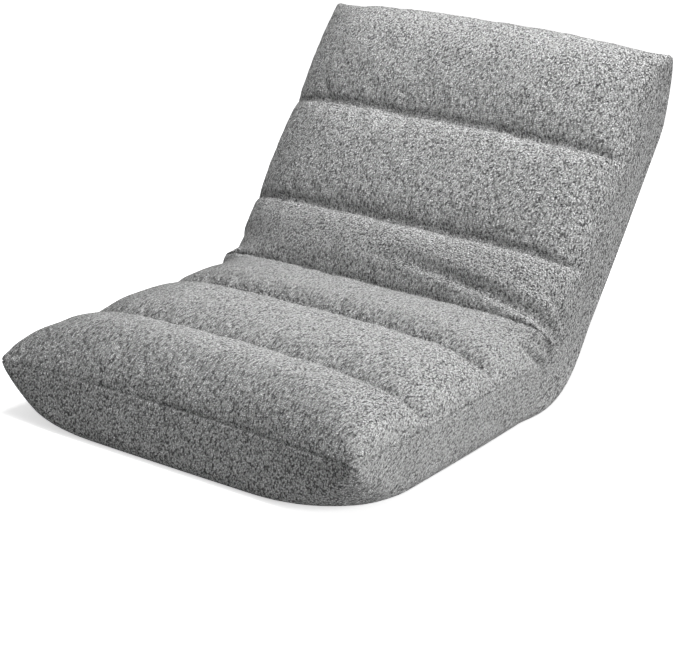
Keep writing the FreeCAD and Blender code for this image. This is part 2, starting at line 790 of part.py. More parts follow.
doc.recompute()
for item in doc.Objects:
    if {"Invalid", "Error"} & set(item.State):
        raise RuntimeError(f"{item.Label} did not build: {item.State}")
for item in nodes:
    if item.Shape.isNull() or not item.Shape.isValid() or not item.Shape.Solids:
        raise RuntimeError(f"{item.Label} has no valid solid")

os.makedirs("parts", exist_ok=True)
for item in nodes:
    item.Shape.exportStep(f"parts/{item.Label}.step")
print(len(nodes), "pieces,", sum(len(item.Shape.Solids) for item in nodes), "solids")
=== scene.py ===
import json
import math
import bpy
import numpy as np
from mathutils import Matrix, Vector


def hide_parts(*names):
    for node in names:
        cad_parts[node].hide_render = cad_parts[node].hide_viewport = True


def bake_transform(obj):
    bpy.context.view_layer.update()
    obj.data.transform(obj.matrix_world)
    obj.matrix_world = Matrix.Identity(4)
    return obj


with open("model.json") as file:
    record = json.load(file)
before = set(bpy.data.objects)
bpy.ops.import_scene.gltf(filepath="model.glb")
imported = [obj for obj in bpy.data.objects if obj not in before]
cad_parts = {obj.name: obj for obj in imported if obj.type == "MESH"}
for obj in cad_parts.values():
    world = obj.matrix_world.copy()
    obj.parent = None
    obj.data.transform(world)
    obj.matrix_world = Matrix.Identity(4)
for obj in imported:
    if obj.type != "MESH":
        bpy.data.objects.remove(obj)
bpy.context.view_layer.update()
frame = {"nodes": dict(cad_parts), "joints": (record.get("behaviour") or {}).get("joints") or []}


# Camera: a long lens in front of one front corner of the chair and a little above it, as in the
# photograph. It is set by where it stands, how it is turned and the focal length in image pixels.
camera_place = Vector((1.433, -1.933, 0.984))
camera_turn = math.radians(34.83)
camera_dip = math.radians(19.64)
camera_roll = math.radians(1.6)
focal_pixels = 2002
image_width_pixels = 679

ahead = Vector((
    -math.sin(camera_turn) * math.cos(camera_dip),
    math.cos(camera_turn) * math.cos(camera_dip),
    -math.sin(camera_dip),
))
level_right = Vector((math.cos(camera_turn), math.sin(camera_turn), 0))
level_up = level_right.cross(ahead)
camera_right = level_right * math.cos(camera_roll) + level_up * math.sin(camera_roll)
camera_up = camera_right.cross(ahead)
lens = bpy.data.cameras.new("photo_camera")
lens.sensor_width = 36
lens.lens = focal_pixels / image_width_pixels * lens.sensor_width
camera = bpy.data.objects.new("photo_camera", lens)
bpy.context.scene.collection.objects.link(camera)
camera_axes = Matrix((camera_right, camera_up, -ahead)).transposed()
camera.matrix_world = Matrix.Translation(camera_place) @ camera_axes.to_4x4()
bpy.context.scene.camera = camera


# Frame: two ladders of straight round steel tube, one in the seat and one in the back, each of two
# side tubes and two cross tubes welded at the corners, then powder-coated black.
def linked_nodes(name):
    material = bpy.data.materials.new(name)
    material.use_nodes = True
    return material, material.node_tree.nodes, material.node_tree.links


def grained_finish(name, dull_colour, bright_colour, stretch, dull, glossy, relief, metallic=0):
    """A finish whose colour, gloss and relief vary with one fine grain, drawn out along stretch."""
    material, parts, links = linked_nodes(name)
    shader = parts["Principled BSDF"]
    shader.inputs["Metallic"].default_value = metallic
    place = parts.new("ShaderNodeTexCoord")
    drawn = parts.new("ShaderNodeMapping")
    drawn.inputs["Scale"].default_value = stretch
    links.new(place.outputs["Object"], drawn.inputs["Vector"])
    grain = parts.new("ShaderNodeTexNoise")
    grain.inputs["Scale"].default_value = 1
    grain.inputs["Detail"].default_value = 5
    links.new(drawn.outputs["Vector"], grain.inputs["Vector"])
    colour = parts.new("ShaderNodeValToRGB")
    colour.color_ramp.elements[0].position = 0.35
    colour.color_ramp.elements[0].color = (*dull_colour, 1)
    colour.color_ramp.elements[1].position = 0.65
    colour.color_ramp.elements[1].color = (*bright_colour, 1)
    links.new(grain.outputs["Fac"], colour.inputs["Fac"])
    links.new(colour.outputs["Color"], shader.inputs["Base Color"])
    gloss = parts.new("ShaderNodeMapRange")
    gloss.inputs["To Min"].default_value = dull
    gloss.inputs["To Max"].default_value = glossy
    links.new(grain.outputs["Fac"], gloss.inputs["Value"])
    links.new(gloss.outputs["Result"], shader.inputs["Roughness"])
    bump = parts.new("ShaderNodeBump")
    bump.inputs["Strength"].default_value = 0.6
    bump.inputs["Distance"].default_value = relief
    links.new(grain.outputs["Fac"], bump.inputs["Height"])
    links.new(bump.outputs["Normal"], shader.inputs["Normal"])
    return material


def give_finish(material, *names):
    for name in names:
        for place in frame["nodes"][name].material_slots:
            place.material = material


sides = ("left", "right")
powder_coat = grained_finish(
    "black_powder_coat", (0.010, 0.010, 0.011), (0.022, 0.022, 0.024),
    stretch=(900, 900, 900), dull=0.62, glossy=0.40, relief=0.0002,
)
give_finish(powder_coat, *[f"{half}_side_tube_{side}" for half in ("seat", "back") for side in sides])
give_finish(powder_coat, *[f"{half}_cross_tube_{number}" for half in ("seat", "back") for number in (1, 2)])


# Hinges: a ratchet at each side, stamped from zinc-plated steel. Two cheeks and an arm are fixed to
# the seat's side tube, a toothed arm to the back's, and a pawl drops between the teeth to lock it.
zinc_plate = grained_finish(
    "zinc_plated_stamping", (0.50, 0.51, 0.53), (0.66, 0.67, 0.70),
    stretch=(260, 420, 420), dull=0.46, glossy=0.28, relief=0.0001, metallic=1,
)
for side in sides:
    give_finish(
        zinc_plate, f"hinge_cheek_outer_{side}", f"hinge_cheek_inner_{side}",
        f"seat_arm_{side}", f"ratchet_arm_{side}", f"pawl_{side}",
    )


# Rivets and pins: plain steel, turned across their length and headed over the cheeks, which leaves
# fine rings round the shank.
turned_steel = grained_finish(
    "turned_steel", (0.46, 0.46, 0.47), (0.68, 0.68, 0.69),
    stretch=(3000, 120, 120), dull=0.38, glossy=0.20, relief=0.00005, metallic=1,
)
give_finish(turned_steel, "pivot_rivets", "pawl_pins", "cheek_pins")


# Pawl springs: a strip of blued spring steel at each hinge, bent to press the pawl into the teeth.
# The heat of tempering leaves uneven blue and straw tints.
blued_strip = grained_finish(
    "blued_spring_strip", (0.035, 0.045, 0.085), (0.13, 0.115, 0.10),
    stretch=(180, 180, 180), dull=0.36, glossy=0.22, relief=0.00005, metallic=1,
)
give_finish(blued_strip, *[f"pawl_spring_{side}" for side in sides])


# Webbing: black elastic bands woven in a plain weave, three across the seat frame and three across
# the back frame, wrapped round the side tubes to carry the filling.
def woven_band():
    material, parts, links = linked_nodes("black_woven_elastic")
    shader = parts["Principled BSDF"]
    shader.inputs["Roughness"].default_value = 0.9
    place = parts.new("ShaderNodeTexCoord")
    threads = []
    for run in ("X", "Y"):
        thread = parts.new("ShaderNodeTexWave")
        thread.bands_direction = run
        thread.inputs["Scale"].default_value = 190
        thread.inputs["Distortion"].default_value = 0.6
        links.new(place.outputs["Object"], thread.inputs["Vector"])
        threads.append(thread)
    weave = parts.new("ShaderNodeMath")
    weave.operation = "MULTIPLY"
    for number, thread in enumerate(threads):
        links.new(thread.outputs["Fac"], weave.inputs[number])
    colour = parts.new("ShaderNodeValToRGB")
    colour.color_ramp.elements[0].color = (0.006, 0.006, 0.007, 1)
    colour.color_ramp.elements[1].color = (0.030, 0.030, 0.033, 1)
    links.new(weave.outputs["Value"], colour.inputs["Fac"])
    links.new(colour.outputs["Color"], shader.inputs["Base Color"])
    bump = parts.new("ShaderNodeBump")
    bump.inputs["Distance"].default_value = 0.0005
    links.new(weave.outputs["Value"], bump.inputs["Height"])
    links.new(bump.outputs["Normal"], shader.inputs["Normal"])
    return material


give_finish(
    woven_band(),
    *[f"{half}_webbing_{number}" for half in ("seat", "back") for number in (1, 2, 3)],
)


# Cushion: the whole upholstered body, a quilted fleece top over six channels of filling, sewn along
# a seam at hinge height to a smooth fleece underside. It is shaped lying flat, as it is cut and
# filled, and then bent about the hinge to the angle at which the chair rests.
fold_joint = next(joint for joint in frame["joints"] if joint["name"] == "back_fold")
hinge = np.array(fold_joint["pos_m"])
rest_angle = -math.radians(fold_joint["range_deg"][0])
seam_height = hinge[2]

side_reach = 0.271
seat_length = 0.460
back_length = 0.447
crest_heights = [0.061, 0.060, 0.060, 0.060, 0.058, 0.059]
groove_heights = [0.041, 0.041, 0.048, 0.041, 0.041]
groove_places = [-0.310, -0.146, 0.0, 0.120, 0.278]
channel_edges = [-seat_length, *groove_places, back_length]
channel_squareness = 0.46
front_nose_length = 0.085
front_nose_fall = 0.57
head_nose_length = 0.085
head_nose_fall = 0.56
row_count = 220
column_count = 150
wall_count = 24
middle_along = (back_length - seat_length) / 2
half_along = (back_length + seat_length) / 2


def eased(value):
    share = np.clip(value, 0, 1)
    return share * share * (3 - 2 * share)


def waves(place, seed, pitch):
    """Smooth uneven waves along one direction, about one per pitch."""
    chance = np.random.default_rng(seed)
    total = np.zeros_like(place)
    for step in range(7):
        length = pitch * (0.6 + 0.23 * step)
        total += np.sin(2 * math.pi * place / length + chance.uniform(0, 2 * math.pi)) / (1 + 0.3 * step)
    return total / 2.5


def channel_profile(along):
    """Height of the top above the seam along the chair's middle, and how full the channel is there."""
    height = np.zeros_like(along)
    fullness = np.zeros_like(along)
    last = len(channel_edges) - 2
    for number in range(last + 1):
        low, high = channel_edges[number], channel_edges[number + 1]
        inside = (along >= low) & (along <= high)
        share = np.clip((along - low) / (high - low), 0, 1)
        low_height = groove_heights[max(number - 1, 0)]
        high_height = groove_heights[min(number, last - 1)]
        base = low_height + (high_height - low_height) * share
        swell = np.power(np.clip(1 - (2 * share - 1) ** 2, 0, 1), channel_squareness)
        if number in (0, last):
            toward_end = 1 - share if number == 0 else share
            swell = np.where(toward_end > 0.5, 1, swell)
        value = base + (crest_heights[number] - base) * swell
        if number in (0, last):
            from_end = (1 - toward_end) * (high - low)
            nose_length = front_nose_length if number == 0 else head_nose_length
            fall = front_nose_fall if number == 0 else head_nose_fall
            lip = np.clip(1 - from_end / nose_length, 0, 1)
            value = value * np.power(np.clip(1 - lip ** 2, 0, 1), fall)
        height[inside] = value[inside]
        fullness[inside] = swell[inside]
    return height, fullness


def seam_reach(along):
    """Half the width between the side seams: drawn in at the fold, standing out at the corners."""
    to_end = np.minimum(along + seat_length, back_length - along)
    corner_ears, ear_length = 0.006, 0.03
    fold_waist, waist_length = 0.004, 0.13
    ears = corner_ears * np.exp(-to_end / ear_length)
    return side_reach + ears - fold_waist * np.exp(-(along / waist_length) ** 2)


def end_bow(across):
    """How far an end seam draws in between its corners."""
    bow_depth = 0.015
    return bow_depth * np.power(np.clip(1 - (across / side_reach) ** 2, 0, 1), 0.8)


def row_places():
    """Places along the chair, closer together at the grooves and the end seams."""
    fine = np.linspace(-seat_length, back_length, 6001)
    gap = np.min(np.abs(fine[:, None] - np.array(channel_edges)[None, :]), axis=1)
    to_seam = np.minimum(fine + seat_length, back_length - fine)
    density = 1 + 1.8 * np.exp(-gap / 0.012) + 12 * np.exp(-to_seam / 0.002)
    total = np.concatenate([[0], np.cumsum((density[1:] + density[:-1]) / 2)])
    return np.interp(np.linspace(0, total[-1], row_count + 1), total, fine)


def arch_shares():
    """The arch across the top from the right seam to the left, in even steps but for those by a seam."""
    boxiness = 4.2
    turn = np.linspace(0, math.pi, 6001)
    side = np.sign(np.cos(turn)) * np.power(np.abs(np.cos(turn)), 2 / boxiness)
    lift = np.clip(np.sin(turn), 0, 1)
    run = np.hypot(np.diff(side) * side_reach, np.diff(lift) * crest_heights[0])
    reach = np.concatenate([[0], np.cumsum(run)])
    by_seam = np.array([0, 0.0016, 0.0036])
    first_even = 0.0075
    spread = np.linspace(first_even, reach[-1] - first_even, column_count + 1 - 2 * len(by_seam))
    even = np.interp(np.concatenate([by_seam, spread, reach[-1] - by_seam[::-1]]), reach, turn)
    return even, np.interp(even, turn, side), np.interp(even, turn, lift)


blend_reach = 0.100
bend_along = np.array([0, math.cos(rest_angle / 2), math.sin(rest_angle / 2)])


def bend_share(along, up):
    """Share of the back's turn at a place beside the hinge, as the piece bends when the chair folds."""
    reach = along * bend_along[1] + up * bend_along[2]
    return eased((reach + blend_reach) / (2 * blend_reach))


def crest_line(along):
    """The top along the chair's middle, filled out at the resting angle and then opened out flat."""
    height, fullness = channel_profile(along)
    squeeze = groove_heights[2] * math.tan(rest_angle / 2)
    rear_length, lumbar_length = -groove_places[1], groove_places[3]
    pressed = np.where(
        along <= 0,
        along - squeeze * np.clip(1 + along / rear_length, 0, 1),
        along + squeeze * np.clip(1 - along / lumbar_length, 0, 1),
    )
    turn = np.where(along <= 0, 0, rest_angle)
    rest_along = pressed * np.cos(turn) - height * np.sin(turn)
    rest_up = pressed * np.sin(turn) + height * np.cos(turn)
    opened = -bend_share(rest_along, rest_up) * rest_angle
    flat_along = rest_along * np.cos(opened) - rest_up * np.sin(opened)
    flat_up = rest_along * np.sin(opened) + rest_up * np.cos(opened)
    return flat_along, flat_up, fullness


seam_corner = 0.008
corner_stand_out = 0.004
floor_corner = 0.155


def round_corners(points, reach_across, reach_along, radius):
    """Draw the four square corners of an outline in to rounds of that radius, in plan."""
    over_across = (np.abs(points[:, 0]) - reach_across + radius) / radius
    over_along = (np.abs(points[:, 1] - middle_along) - reach_along + radius) / radius
    near = (over_across > 0) & (over_along > 0)
    most_over = 1.05
    u = np.minimum(over_across[near], most_over)
    v = np.minimum(over_along[near], most_over)
    back_across = radius * u * (1 - np.sqrt(np.maximum(1 - v * v / 2, 0.1)))
    back_along = radius * v * (1 - np.sqrt(np.maximum(1 - u * u / 2, 0.1)))
    points[near, 0] -= np.sign(points[near, 0]) * back_across
    points[near, 1] -= np.sign(points[near, 1] - middle_along) * back_along


def shape_top():
    """The quilted top lying flat, as rows along the chair and columns across it."""
    along = row_places()
    turn, side, lift = arch_shares()
    crest_along, crest_up, fullness = crest_line(along)
    # the filling is packed tighter into the front corners, and the stitching pulls the sides in
    corner_length = 0.10
    corner_fill = 1 - 0.35 * eased(1 - (along + seat_length) / corner_length)
    stitched_in = 1 + 0.15 * (1 - fullness)
    # at the fold the padding lies over the hinges, so the crease stays high until it is past them
    hinge_length, hinge_squareness = 0.022, 0.28
    over_hinge = np.exp(-(along / hinge_length) ** 2)
    stitched_in = stitched_in + (hinge_squareness - stitched_in) * over_hinge
    lift = lift[None, :] ** (corner_fill * stitched_in)[:, None]
    top = np.zeros((row_count + 1, column_count + 1, 3))
    top[:, :, 0] = seam_reach(along)[:, None] * side
    top[:, :, 1] = along[:, None] + (crest_along - along)[:, None] * lift
    top[:, :, 2] = crest_up[:, None] * lift
    puff = 0.001 * np.sin(2 * np.minimum(turn, math.pi - turn)) * np.sign(np.cos(turn))
    top[:, :, 0] += puff * (0.25 + 0.75 * fullness[:, None])
    # the end seams draw in between their corners, and the filling swells out over the head seam
    swell_height, bow_length, head_swell = 0.03, 0.12, 1.7
    swell = np.sin(np.clip(top[:, :, 2] / swell_height, 0, 1) * math.pi / 2)
    near_front = np.clip(1 - (along + seat_length) / bow_length, 0, 1)[:, None] ** 1.5
    near_head = np.clip(1 - (back_length - along) / bow_length, 0, 1)[:, None] ** 1.5
    bow = end_bow(top[:, :, 0])
    top[:, :, 1] += near_front * bow
    top[:, :, 1] -= near_head * bow * (1 - head_swell * swell)
    return along, top


def outward(top):
    """Unit direction out of the top at each point."""
    lengthwise = np.gradient(top, axis=0)
    crosswise = np.gradient(top, axis=1)
    out = np.cross(lengthwise, crosswise)
    size = np.linalg.norm(out, axis=2, keepdims=True)
    return out / np.maximum(size, 1e-9)


def add_wrinkles(row_along, top):
    """Puckers along the stitching, and the slack that gathers in the lumbar channel by the fold."""
    across = top[:, :, 0]
    place = np.repeat(row_along[:, None], column_count + 1, axis=1)
    raised = np.clip(top[:, :, 2] / groove_heights[0], 0, 1)
    step = np.linalg.norm(np.diff(top, axis=1), axis=2)
    from_right = np.concatenate([np.zeros((row_count + 1, 1)), np.cumsum(step, axis=1)], axis=1)
    from_left = from_right[:, -1:] - from_right
    lifted = np.zeros_like(across)
    drift = np.zeros_like(across)
    # at the grooves: puckers, a narrow crease where the stitches pull, and a line that wanders a little
    pucker_height, crease_width, wander = 0.0015, 0.005, 0.0016
    for number, groove in enumerate(groove_places):
        gap = place - groove
        pucker = waves(across + 0.3 * gap, 11 + number, 0.034)
        reach = np.exp(-np.abs(gap) / 0.022) * (1 - 0.7 * np.exp(-np.abs(gap) / 0.004))
        lifted += pucker_height * pucker * reach * raised
        stitch_pull = 0.006 if groove else 0.003
        lifted -= stitch_pull * np.exp(-np.abs(gap) / crease_width) * raised
        drift += wander * waves(across, 31 + number, 0.16) * np.exp(-(gap / 0.03) ** 2) * raised
    # slack in the lumbar channel: a second fold that starts near the middle and deepens to the right
    slack_place = 0.050 - 0.024 * eased((across - 0.02) / 0.24) + 0.003 * waves(across, 5, 0.12)
    slack_depth = 0.0100 * eased((across + 0.07) / 0.22) + 0.002 * eased((-0.12 - across) / 0.12)
    slack_gap = place - slack_place
    valley_width, roll_place, roll_width = 0.011, 0.022, 0.014
    lifted -= slack_depth * np.exp(-(slack_gap / valley_width) ** 2) * raised
    lifted += 0.35 * slack_depth * np.exp(-((slack_gap - roll_place) / roll_width) ** 2) * raised
    # puckers that run out from the fold's end at each side seam: where each starts, its slant and reach
    fold_puckers = [(-0.026, -0.45, 0.09), (-0.004, -0.10, 0.06), (0.018, 0.30, 0.09), (0.040, 0.55, 0.07)]
    for from_seam, depth in ((from_right, 0.0065), (from_left, 0.0020)):
        for start, slant, reach in fold_puckers:
            gap = place - start - slant * from_seam
            fade = np.clip(from_seam / 0.012, 0, 1) * eased(1 - from_seam / reach)
            lifted -= depth * np.exp(-(gap / 0.0048) ** 2) * fade
            lifted += 0.5 * depth * np.exp(-((gap - 0.012) / 0.007) ** 2) * fade
    # gathers along the side seams, and the slight unevenness of hand-filled channels
    close = np.minimum(from_right, from_left)
    lifted += 0.0010 * waves(place, 3, 0.035) * np.exp(-close / 0.02) * np.clip(close / 0.006, 0, 1)
    unevenness = waves(across + 0.4 * place, 21, 0.13) * waves(place - 0.3 * across, 22, 0.10)
    lifted += 0.0014 * unevenness * raised
    top += outward(top) * lifted[:, :, None]
    top[:, :, 1] += drift


def grid_faces(index):
    corner = index[:-1, :-1], index[:-1, 1:], index[1:, 1:], index[1:, :-1]
    return np.stack([part.ravel() for part in corner], axis=1)


def let_filling_swell(row_along, top):
    """Press the filling up into the cut fabric, held at its stitching, and let the spare cloth wrinkle."""
    swell_frames = 20
    swell_limit = 0.003
    sheet_mesh = bpy.data.meshes.new("top_sheet")
    index = np.arange(top.shape[0] * top.shape[1]).reshape(top.shape[:2])
    sheet_mesh.from_pydata(top.reshape(-1, 3).tolist(), [], grid_faces(index)[:, ::-1].tolist())
    sheet = bpy.data.objects.new("top_sheet", sheet_mesh)
    bpy.context.scene.collection.objects.link(sheet)
    stitched = np.zeros(top.shape[:2], bool)
    stitched[[0, -1], :] = True
    stitched[:, [0, -1]] = True
    for groove in groove_places:
        stitched[np.argmin(np.abs(row_along - groove)), :] = True
    held = sheet.vertex_groups.new(name="stitched")
    held.add(index[stitched].tolist(), 1, "REPLACE")
    cloth = sheet.modifiers.new("swell", "CLOTH")
    cloth.settings.vertex_group_mass = "stitched"
    cloth.settings.use_pressure = True
    cloth.settings.uniform_pressure_force = 4
    cloth.settings.shrink_min = -0.008
    cloth.settings.bending_stiffness = 3
    cloth.settings.effector_weights.gravity = 0
    cloth.point_cache.frame_end = swell_frames
    for number in range(1, swell_frames + 1):
        bpy.context.scene.frame_set(number)
    swollen = sheet.evaluated_get(bpy.context.evaluated_depsgraph_get()).to_mesh()
    places = np.zeros(index.size * 3, np.float32)
    swollen.vertices.foreach_get("co", places)
    moved = places.reshape(top.shape) - top
    distance = np.linalg.norm(moved, axis=2, keepdims=True)
    top += moved * swell_limit * np.tanh(distance / swell_limit) / np.maximum(distance, 1e-9)
    bpy.data.objects.remove(sheet)
    bpy.context.scene.frame_set(1)


def seam_ring(top):
    """The seam in one round: front edge, left side, head edge and right side."""
    return np.concatenate([top[0], top[1:, -1], top[-1, -2::-1], top[-2:0:-1, 0]])


def wall_step(share):
    """Outward offset and drop of the underside's wall, from the seam at 0 to the floor at 1."""
    edge_round = 0.018
    wall_swell = 0.003
    straight = seam_height - edge_round
    run = share * (straight + edge_round * math.pi / 2)
    if run <= straight:
        return wall_swell * math.sin(math.pi / 2 * run / straight), run
    angle = (run - straight) / edge_round
    return wall_swell - edge_round * (1 - math.cos(angle)), straight + edge_round * math.sin(angle)


def evened_round(ring, share):
    """Spread a round's points along each of its four sides, the more evenly the nearer the floor."""
    corners = np.cumsum([0, column_count, row_count, column_count, row_count])
    closed = np.concatenate([ring, ring[:1]])
    for start, end in zip(corners[:-1], corners[1:]):
        side = closed[start:end + 1].copy()
        run = np.concatenate([[0], np.cumsum(np.linalg.norm(np.diff(side, axis=0), axis=1))])
        wanted = run + (np.linspace(0, run[-1], len(run)) - run) * share
        evened = [np.interp(wanted, run, side[:, axis]) for axis in range(3)]
        closed[start:end + 1] = np.stack(evened, axis=1)
    return closed[:-1]


def wall_ring(square_seam, share):
    """One round of the underside's wall, whose corners grow rounder towards the floor."""
    out, drop = wall_step(share)
    ring = square_seam.copy()
    end_band, belly = 0.018, 1.35
    at_end = np.abs(ring[:, 1] - middle_along) > half_along - end_band
    toward = np.sign(ring[:, 1] - middle_along)
    # the end walls fill out below the drawn-in seam
    ring[:, 1] += np.where(at_end, toward * end_bow(ring[:, 0]) * (belly * share), 0)
    ring[:, 0] *= (side_reach + out) / side_reach
    ring[:, 1] = middle_along + (ring[:, 1] - middle_along) * (half_along + out) / half_along
    corner_growth = 1.35
    corner = seam_corner + (floor_corner - seam_corner) * share ** corner_growth
    round_corners(ring, side_reach + corner_stand_out * (1 - share) + out, half_along + out, corner)
    thinning, thinning_length = 0.13, 0.40
    ring[:, 2] = -drop * (1 - thinning * eased(ring[:, 1] / thinning_length))
    return evened_round(ring, share)


def floor_grid(ring):
    """The flat underside inside the last round of the wall."""
    front = ring[:column_count + 1]
    left = ring[column_count:column_count + row_count + 1]
    head = ring[column_count + row_count:2 * column_count + row_count + 1][::-1]
    right = np.concatenate([ring[2 * column_count + row_count:], ring[:1]])[::-1]
    u = np.linspace(0, 1, column_count + 1)[None, :, None]
    v = np.linspace(0, 1, row_count + 1)[:, None, None]
    sides = (1 - v) * front[None] + v * head[None] + (1 - u) * right[:, None] + u * left[:, None]
    corners = (1 - u) * (1 - v) * front[0] + u * (1 - v) * front[-1]
    corners = corners + (1 - u) * v * head[0] + u * v * head[-1]
    grid = sides - corners
    relaxing_rounds = 30
    for _ in range(relaxing_rounds):
        around = grid[:-2, 1:-1] + grid[2:, 1:-1] + grid[1:-1, :-2] + grid[1:-1, 2:]
        grid[1:-1, 1:-1] = around / 4
    return grid


def bent_to_rest(flat):
    """Turn each point about the hinge by the share of the resting angle that its place asks for."""
    radius = np.hypot(flat[:, 1], flat[:, 2])
    angle = np.arctan2(flat[:, 2], flat[:, 1])
    low = np.zeros(len(flat))
    high = np.ones(len(flat))
    halvings = 40
    for _ in range(halvings):
        share = (low + high) / 2
        turned = angle + share * rest_angle
        wanted = bend_share(radius * np.cos(turned), radius * np.sin(turned))
        low = np.where(wanted > share, share, low)
        high = np.where(wanted > share, high, share)
    turned = angle + (low + high) / 2 * rest_angle
    return np.stack([
        flat[:, 0] + hinge[0],
        radius * np.cos(turned) + hinge[1],
        radius * np.sin(turned) + hinge[2],
    ], axis=1)


row_along, top = shape_top()
square_top = top.copy()
round_corners(top.reshape(-1, 3), side_reach + corner_stand_out, half_along, seam_corner)
let_filling_swell(row_along, top)
add_wrinkles(row_along, top)
seam = seam_ring(top)
square_seam = seam_ring(square_top)
close_below_seam = [0.018, 0.042]
wall_shares = [*close_below_seam, *np.linspace(0.08, 1, wall_count - len(close_below_seam))]
walls = [wall_ring(square_seam, share) for share in wall_shares]
underside = floor_grid(walls[-1])
round_count = len(seam)

top_index = np.arange(top.shape[0] * top.shape[1]).reshape(top.shape[:2])
seam_index = np.concatenate([
    top_index[0], top_index[1:, -1], top_index[-1, -2::-1], top_index[-2:0:-1, 0],
])
first_wall = top_index.size
wall_index = first_wall + np.arange(wall_count * round_count).reshape(wall_count, round_count)
first_floor = first_wall + wall_index.size
inner = underside[1:-1, 1:-1]
floor_index = np.full(underside.shape[:2], -1)
inner_numbers = np.arange(inner.shape[0] * inner.shape[1]).reshape(inner.shape[:2])
floor_index[1:-1, 1:-1] = first_floor + inner_numbers
last_round = wall_index[-1]
floor_index[0] = last_round[:column_count + 1]
floor_index[:, -1] = last_round[column_count:column_count + row_count + 1]
floor_index[-1] = last_round[column_count + row_count:2 * column_count + row_count + 1][::-1]
floor_index[:, 0] = np.concatenate([last_round[2 * column_count + row_count:], last_round[:1]])[::-1]

# the stitches draw the seam in a little, in a fine uneven line
seam_pull, stitch_unevenness, stitch_pitch = 0.0028, 0.0007, 0.012
seam_depth = seam_pull + stitch_unevenness * waves(seam[:, 0] + seam[:, 1], 41, stitch_pitch)
drawn_in = np.stack([
    seam[:, 0] * (1 - seam_depth / side_reach),
    middle_along + (seam[:, 1] - middle_along) * (1 - seam_depth / half_along),
    seam[:, 2],
], axis=1)
top.reshape(-1, 3)[seam_index] = drawn_in
flat_points = np.concatenate([top.reshape(-1, 3), np.concatenate(walls), inner.reshape(-1, 3)])
faces = [grid_faces(top_index)[:, ::-1]]
upper = seam_index
for level in wall_index:
    following = np.roll(upper, -1), np.roll(level, -1)
    faces.append(np.stack([upper, following[0], following[1], level], axis=1))
    upper = level
faces.append(grid_faces(floor_index))
faces = np.concatenate(faces)

cushion_mesh = bpy.data.meshes.new("quilted_cushion")
rest_points = bent_to_rest(flat_points)
# the underside lies on the floor and no point sinks into it
rest_points[:, 2] = np.maximum(rest_points[:, 2], 0)
cushion_mesh.from_pydata(rest_points.tolist(), [], faces.tolist())
flat_place = cushion_mesh.attributes.new("flat_place", "FLOAT_VECTOR", "POINT")
flat_place.data.foreach_set("vector", flat_points.astype(np.float32).ravel())
cushion_mesh.shade_smooth()
cushion_mesh.update()
cushion = bpy.data.objects.new("quilted_cushion", cushion_mesh)
bpy.context.scene.collection.objects.link(cushion)


